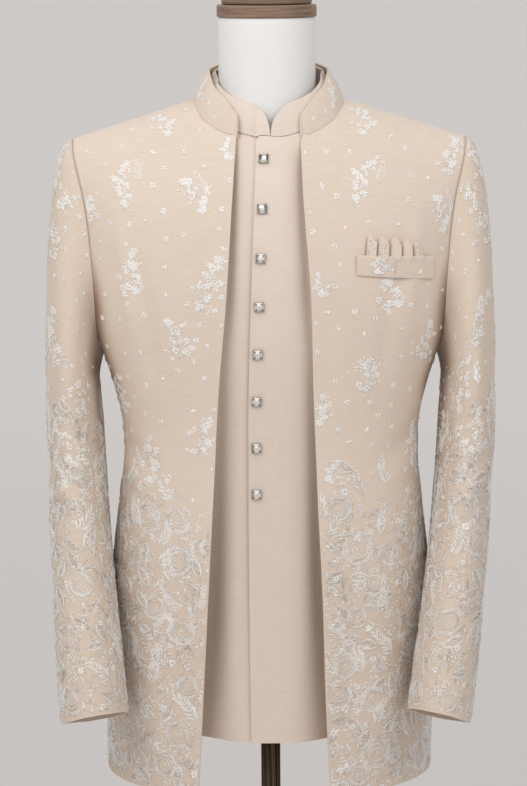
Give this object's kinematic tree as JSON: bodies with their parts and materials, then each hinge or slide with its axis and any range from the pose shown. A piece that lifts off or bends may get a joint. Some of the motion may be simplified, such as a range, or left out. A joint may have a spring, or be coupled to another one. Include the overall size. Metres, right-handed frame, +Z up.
{
  "type": "bandhgala on a dress form",
  "caption": "Open stand-collar embroidered bandhgala jacket over its own buttoned closed-neck front, worn by a limbless dress form on a pole and round foot.",
  "frame": {"origin": "on the floor under the middle of the pole", "axes": "+Z up; the garment faces -Y, the wearer's right side is -X"},
  "size_m": [0.5092, 0.36, 1.561],
  "materials": {
    "jacket_cloth": "beige slubbed silk blend with white and silvery floral thread embroidery",
    "inner_cloth": "plain beige slubbed silk blend with a soft sheen",
    "stone_buttons": "square cut clear stones in dark silver claws",
    "form_cover": "smooth off-white knitted cover",
    "neck_cap": "dark walnut, satin varnish",
    "stand_metal": "dark bronze"
  },
  "bodies": {
    "root": {"jacket_front_right": "jacket_cloth", "jacket_front_left": "jacket_cloth", "jacket_back": "jacket_cloth", "top_sleeve_right": "jacket_cloth", "under_sleeve_right": "jacket_cloth", "top_sleeve_left": "jacket_cloth", "under_sleeve_left": "jacket_cloth", "jacket_collar": "jacket_cloth", "pocket_welt": "jacket_cloth", "pocket_square": "jacket_cloth", "inner_front_left": "inner_cloth", "inner_front_right": "inner_cloth", "inner_collar": "inner_cloth", "button_1": "stone_buttons", "button_2": "stone_buttons", "button_3": "stone_buttons", "button_4": "stone_buttons", "button_5": "stone_buttons", "button_6": "stone_buttons", "button_7": "stone_buttons", "button_8": "stone_buttons", "form_torso": "form_cover", "neck_cap_lower": "neck_cap", "neck_cap_upper": "neck_cap", "pole": "stand_metal", "foot": "stand_metal"}
  },
  "joints": []
}
